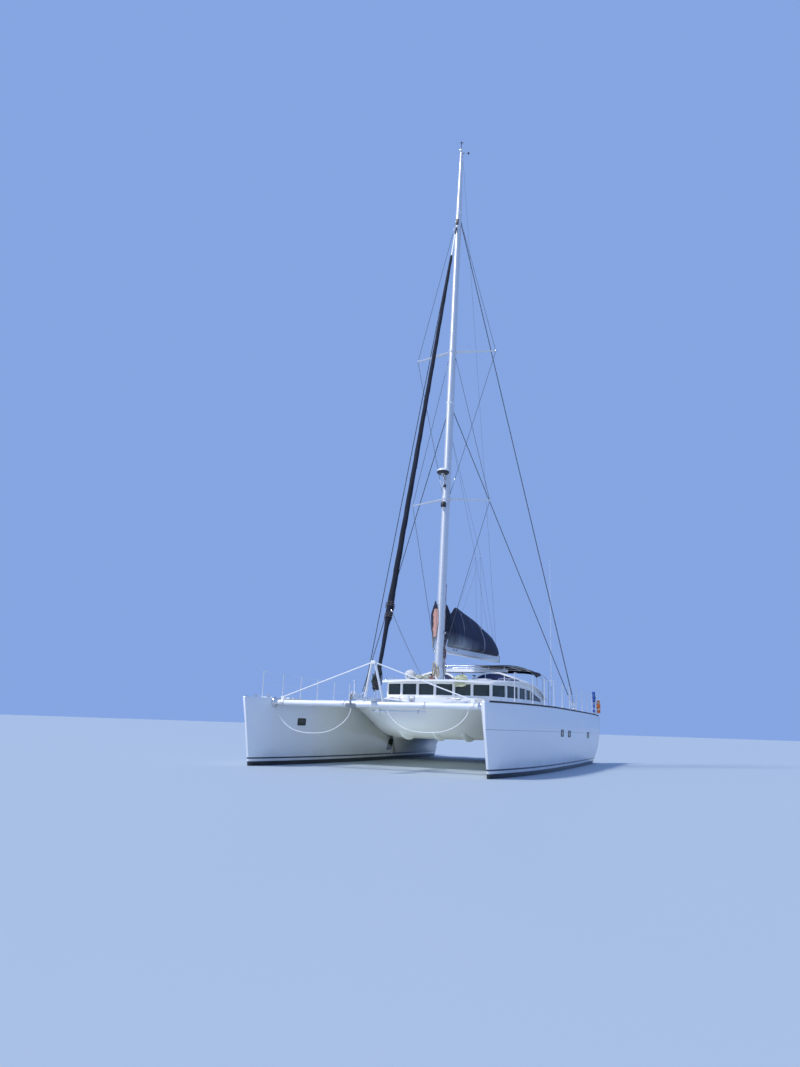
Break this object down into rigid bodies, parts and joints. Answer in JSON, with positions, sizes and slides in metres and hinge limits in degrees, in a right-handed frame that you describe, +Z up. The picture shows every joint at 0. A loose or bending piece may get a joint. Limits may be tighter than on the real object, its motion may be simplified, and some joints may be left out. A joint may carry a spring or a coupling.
{
  "type": "sailing catamaran",
  "caption": "Cruising sailing catamaran afloat with furled sails: twin hulls, cabin, leaning mast, swinging boom, rudders, propellers, helm wheels, sliding door and engine hatches.",
  "frame": {"origin": "on the waterline, on the centreline, midway between bow and stern", "axes": "+X to port, +Y aft, +Z up"},
  "size_m": [9.15, 17.5181, 29.0437],
  "materials": {
    "gelcoat": "white gelcoat, satin where non-slip",
    "antifouling": "matte black antifouling paint",
    "tinted_glass": "grey-green tinted acrylic",
    "tinted_screen": "navy screen in a white rim",
    "teak": "oiled teak and light cushions",
    "stainless": "polished tube",
    "painted_aluminium": "white paint",
    "galvanised": "galvanised, dull",
    "net": "woven dark net",
    "anodised": "satin anodised",
    "wire": "stranded wire",
    "sailcloth": "furled white sail with a blue cover strip",
    "white_plastic": "smooth",
    "navy_canvas": "acrylic canvas",
    "cast": "painted grey",
    "bronze": "dull bronze",
    "rope": "three-strand rope"
  },
  "bodies": {
    "boat": {"hull_port": "gelcoat", "hull_starboard": "gelcoat", "keel_port": "antifouling", "keel_starboard": "antifouling", "cabin_roof": "gelcoat", "cabin_front": "gelcoat", "cabin_side_port": "gelcoat", "cabin_side_starboard": "gelcoat", "front_glass": "tinted_glass", "cabin_bulkhead": "gelcoat", "bridge_deck": "gelcoat", "side_glass_port": "tinted_glass", "side_glass_starboard": "tinted_glass", "windscreen_port": "tinted_screen", "windscreen_starboard": "tinted_screen", "saloon_furniture": "teak", "helm_station_port": "gelcoat", "helm_station_starboard": "gelcoat", "cockpit_bench": "gelcoat", "cockpit_table": "teak", "front_crossbeam": "painted_aluminium", "bow_beam": "painted_aluminium", "anchor": "galvanised", "striker_frame": "painted_aluminium", "trampoline_port": "net", "trampoline_starboard": "net", "mast": "anodised", "lower_spreaders": "anodised", "upper_spreaders": "anodised", "diamond_stay_port": "wire", "diamond_stay_starboard": "wire", "cap_shroud_port": "wire", "cap_shroud_starboard": "wire", "lower_shroud_port": "wire", "lower_shroud_starboard": "wire", "furled_forestay": "sailcloth", "radar_dome": "white_plastic", "masthead_unit": "anodised", "lifelines_port": "stainless", "lifelines_starboard": "stainless", "bimini_frame": "stainless", "bimini_canopy": "navy_canvas", "engine_port": "cast", "engine_starboard": "cast", "saildrive_port": "cast", "saildrive_starboard": "cast", "bridle_rope_port": "rope", "bridle_rope_starboard": "rope"},
    "boom": {"boom": "anodised", "sail_bag": "navy_canvas"},
    "saloon_door": {"saloon_door": "tinted_glass"},
    "wheel_port": {"wheel_port": "stainless"},
    "rudder_port": {"rudder_port": "antifouling"},
    "propeller_port": {"propeller_port": "bronze"},
    "engine_hatch_port": {"engine_hatch_port": "gelcoat"},
    "wheel_starboard": {"wheel_starboard": "stainless"},
    "rudder_starboard": {"rudder_starboard": "antifouling"},
    "propeller_starboard": {"propeller_starboard": "bronze"},
    "engine_hatch_starboard": {"engine_hatch_starboard": "gelcoat"}
  },
  "joints": [
    {"name": "boom_swing", "type": "hinge", "parent": "boat", "child": "boom", "pos_m": [0, -0.9, 4.22], "axis": [0, 0.075, 0.9972], "range_deg": [-30, 30]},
    {"name": "saloon_door_slide", "type": "slide", "parent": "boat", "child": "saloon_door", "axis": [-1, 0, 0], "range_m": [0, 0.95]},
    {"name": "rudder_port_turn", "type": "hinge", "parent": "boat", "child": "rudder_port", "pos_m": [3.75, 6.9, -0.9], "axis": [0, 0, 1], "range_deg": [-35, 35]},
    {"name": "wheel_port_turn", "type": "hinge", "parent": "boat", "child": "wheel_port", "pos_m": [1.75, 3.88, 2.6], "axis": [0, 1, 0], "range_deg": [-450, 450]},
    {"name": "propeller_port_spin", "type": "hinge", "parent": "boat", "child": "propeller_port", "pos_m": [3.75, 5.65, -0.95], "axis": [0, 1, 0], "continuous": true},
    {"name": "engine_hatch_port_lift", "type": "hinge", "parent": "boat", "child": "engine_hatch_port", "pos_m": [3.38, 5.4, 2.1404], "axis": [0, -1, 0], "range_deg": [0, 90]},
    {"name": "rudder_starboard_turn", "type": "hinge", "parent": "boat", "child": "rudder_starboard", "pos_m": [-3.75, 6.9, -0.9], "axis": [0, 0, 1], "range_deg": [-35, 35]},
    {"name": "wheel_starboard_turn", "type": "hinge", "parent": "boat", "child": "wheel_starboard", "pos_m": [-1.75, 3.88, 2.6], "axis": [0, 1, 0], "range_deg": [-450, 450]},
    {"name": "propeller_starboard_spin", "type": "hinge", "parent": "boat", "child": "propeller_starboard", "pos_m": [-3.75, 5.65, -0.95], "axis": [0, 1, 0], "continuous": true},
    {"name": "engine_hatch_starboard_lift", "type": "hinge", "parent": "boat", "child": "engine_hatch_starboard", "pos_m": [-3.38, 5.4, 2.1404], "axis": [0, 1, 0], "range_deg": [0, 90]}
  ],
  "couplings": [
    {"joint": "rudder_starboard_turn", "follows": "rudder_port_turn", "ratio": 1},
    {"joint": "wheel_port_turn", "follows": "rudder_port_turn", "ratio": 12.857},
    {"joint": "wheel_starboard_turn", "follows": "rudder_port_turn", "ratio": 12.857}
  ]
}
